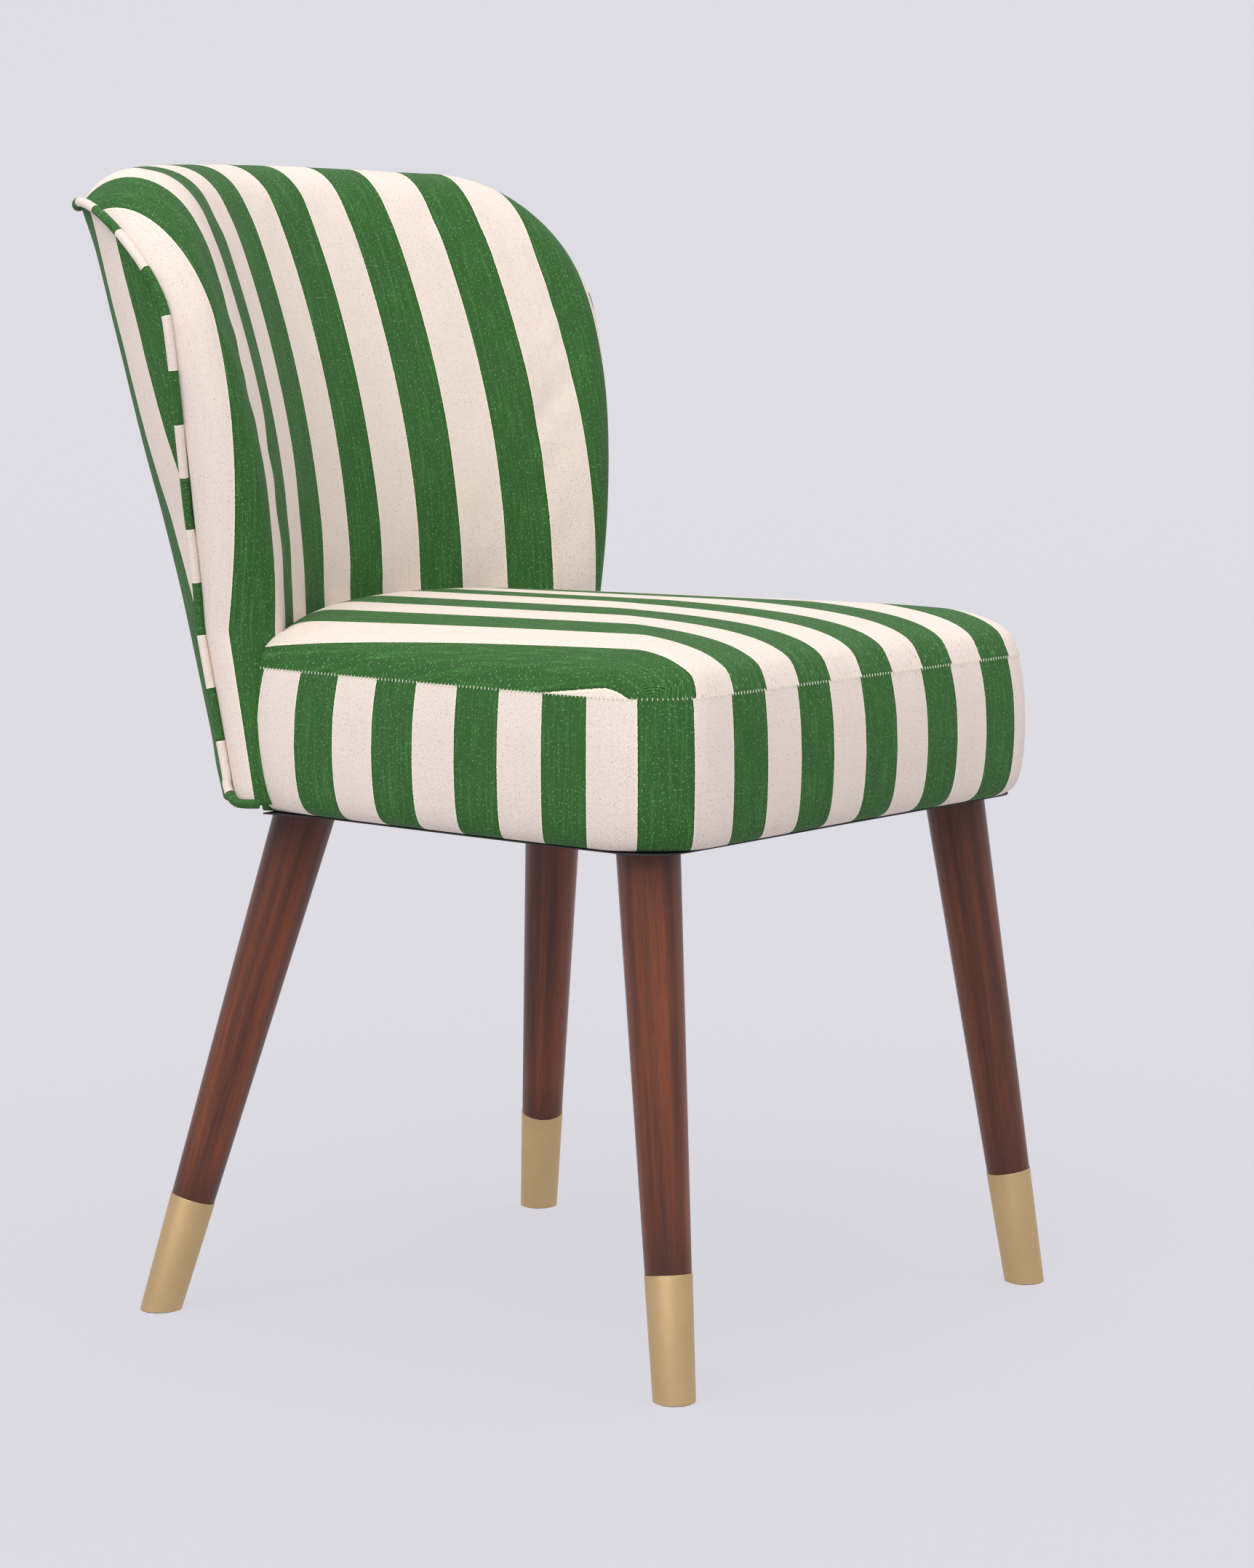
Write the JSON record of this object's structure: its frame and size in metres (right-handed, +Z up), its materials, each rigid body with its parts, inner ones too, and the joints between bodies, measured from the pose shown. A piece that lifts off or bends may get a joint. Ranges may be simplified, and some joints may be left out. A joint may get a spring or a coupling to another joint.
{
  "type": "upholstered dining chair",
  "caption": "Armless dining chair with a boxed seat, a curved rolled back edged with piping, and splayed tapered wooden legs in metal ferrules.",
  "frame": {"origin": "on the floor, under the middle of the chair's overall box", "axes": "+Z up, -Y towards the front of the seat, +X towards the sitter's left"},
  "size_m": [0.503, 0.6408, 0.8343],
  "materials": {
    "leg_wood": "satin lacquered walnut",
    "ferrule_brass": "satin brushed",
    "glide_nylon": "matte",
    "fixing_steel": "zinc plated",
    "insert_brass": "plain",
    "frame_hardwood": "unfinished beech",
    "plywood": "unfinished plywood",
    "cover_fabric": "green and cream striped herringbone weave, matte",
    "foam": "upholstery foam, matte",
    "lining_cloth": "black non-woven cloth, matte"
  },
  "bodies": {
    "root": {"leg_front_right": "leg_wood", "ferrule_front_right": "ferrule_brass", "glide_front_right": "glide_nylon", "hanger_bolt_front_right": "fixing_steel", "t_nut_front_right": "fixing_steel", "corner_block_front_right": "frame_hardwood", "leg_front_left": "leg_wood", "ferrule_front_left": "ferrule_brass", "glide_front_left": "glide_nylon", "hanger_bolt_front_left": "fixing_steel", "t_nut_front_left": "fixing_steel", "corner_block_front_left": "frame_hardwood", "leg_rear_right": "leg_wood", "ferrule_rear_right": "ferrule_brass", "glide_rear_right": "glide_nylon", "hanger_bolt_rear_right": "fixing_steel", "t_nut_rear_right": "fixing_steel", "corner_block_rear_right": "frame_hardwood", "leg_rear_left": "leg_wood", "ferrule_rear_left": "ferrule_brass", "glide_rear_left": "glide_nylon", "hanger_bolt_rear_left": "fixing_steel", "t_nut_rear_left": "fixing_steel", "corner_block_rear_left": "frame_hardwood", "seat_top_panel": "cover_fabric", "seat_border": "cover_fabric", "back_cover": "cover_fabric", "back_outer_panel": "cover_fabric", "back_piping": "cover_fabric", "seat_foam": "foam", "seat_border_wadding": "foam", "back_foam": "foam", "seat_deck": "plywood", "back_board": "plywood", "seat_lining": "lining_cloth", "seat_rail_front": "frame_hardwood", "seat_rail_rear": "frame_hardwood", "seat_rail_right": "frame_hardwood", "seat_rail_left": "frame_hardwood", "back_post_right": "frame_hardwood", "back_post_left": "frame_hardwood", "back_bolt_right_lower": "fixing_steel", "back_insert_right_lower": "insert_brass", "back_bolt_right_upper": "fixing_steel", "back_insert_right_upper": "insert_brass", "back_bolt_left_lower": "fixing_steel", "back_insert_left_lower": "insert_brass", "back_bolt_left_upper": "fixing_steel", "back_insert_left_upper": "insert_brass"}
  },
  "joints": []
}
